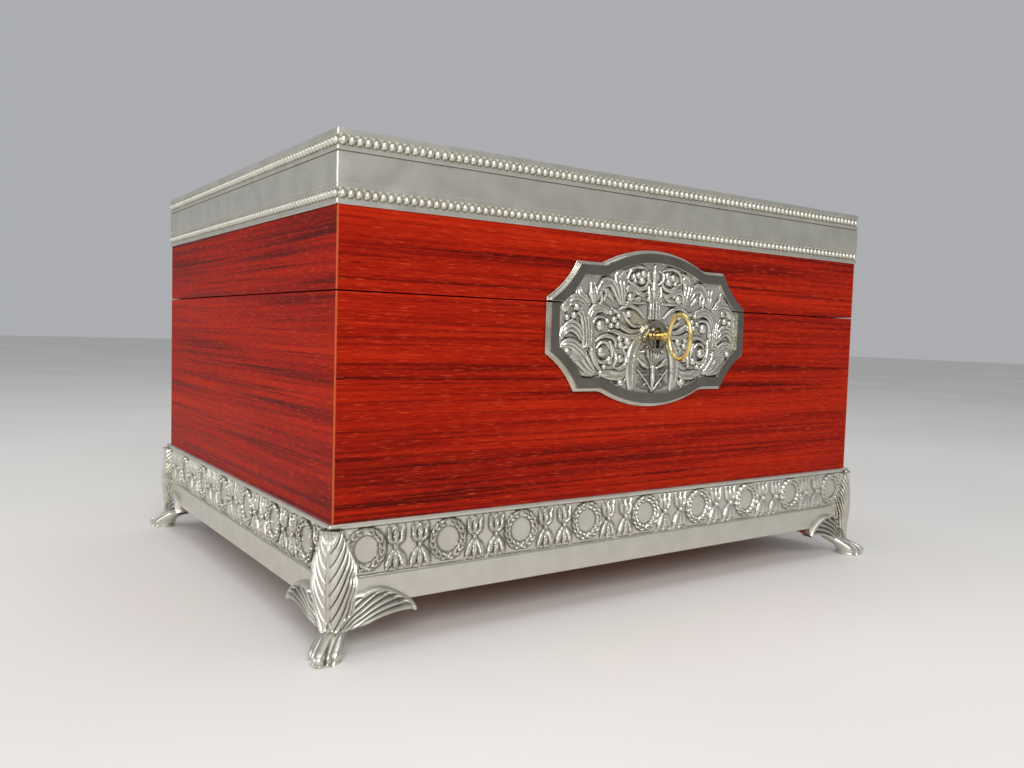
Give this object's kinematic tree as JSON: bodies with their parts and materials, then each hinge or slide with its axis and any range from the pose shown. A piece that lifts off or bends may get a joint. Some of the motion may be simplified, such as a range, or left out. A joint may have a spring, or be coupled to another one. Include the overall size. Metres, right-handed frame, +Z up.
{
  "type": "tea caddy",
  "caption": "Rectangular wooden tea caddy with a hinged lid, cast pewter rim, base rails and leaf-and-paw feet, a cartouche escutcheon, a box lock and a brass key.",
  "frame": {"origin": "on the floor under the middle of the wooden case", "axes": "+X to the right along the long front, +Y to the back, +Z up; the escutcheon faces -Y"},
  "size_m": [0.3202, 0.2651, 0.185],
  "materials": {
    "padauk": "red-brown hardwood, gloss lacquer",
    "pewter": "cast pewter, satin, dark patina in the recesses",
    "brass": "polished brass",
    "cedar": "plain oiled lining wood"
  },
  "bodies": {
    "case": {"base_rail_back": "pewter", "base_rail_front": "pewter", "base_rail_left": "pewter", "base_rail_right": "pewter", "case_back": "padauk", "case_bottom": "cedar", "case_front": "padauk", "case_left": "padauk", "case_right": "padauk", "divider_left": "cedar", "divider_long": "cedar", "divider_right": "cedar", "escutcheon_lower": "pewter", "foot_back_left": "pewter", "foot_back_right": "pewter", "foot_front_left": "pewter", "foot_front_right": "pewter", "foot_screws": "brass", "hinge_case_leaf_left": "brass", "hinge_case_leaf_right": "brass", "hinge_pin_left": "brass", "hinge_pin_right": "brass", "hinge_screws_case": "brass", "keyhole_boss": "pewter", "lining_back": "cedar", "lining_floor": "cedar", "lining_front": "cedar", "lining_left": "cedar", "lining_right": "cedar", "lock_case": "brass", "lock_cover": "brass", "lock_screws": "brass"},
    "lid": {"escutcheon_upper": "pewter", "hinge_lid_leaf_left": "brass", "hinge_lid_leaf_right": "brass", "hinge_screws_lid": "brass", "lid_back": "padauk", "lid_front": "padauk", "lid_left": "padauk", "lid_lining": "cedar", "lid_panel": "padauk", "lid_right": "padauk", "lid_rim_back": "pewter", "lid_rim_front": "pewter", "lid_rim_left": "pewter", "lid_rim_right": "pewter", "link_plate": "brass", "link_screws": "brass"},
    "drum": {"lock_drum": "brass"},
    "key": {"key": "brass"},
    "bolt": {"lock_bolt": "brass"}
  },
  "joints": [
    {"name": "lid_hinge", "type": "hinge", "parent": "case", "child": "lid", "pos_m": [0, 0.1182, 0.1295], "axis": [-1, 0, 0], "range_deg": [0, 95]},
    {"name": "key_turn", "type": "hinge", "parent": "case", "child": "drum", "pos_m": [0, -0.1098, 0.1167], "axis": [0, 1, 0], "range_deg": [0, 90]},
    {"name": "key_withdraw", "type": "slide", "parent": "drum", "child": "key", "axis": [0, -1, 0], "range_m": [0, 0.04]},
    {"name": "bolt_throw", "type": "slide", "parent": "case", "child": "bolt", "axis": [1, 0, 0], "range_m": [0, 0.00495]}
  ],
  "couplings": [
    {"joint": "bolt_throw", "follows": "key_turn", "m_per_rad": 0.0031511}
  ]
}
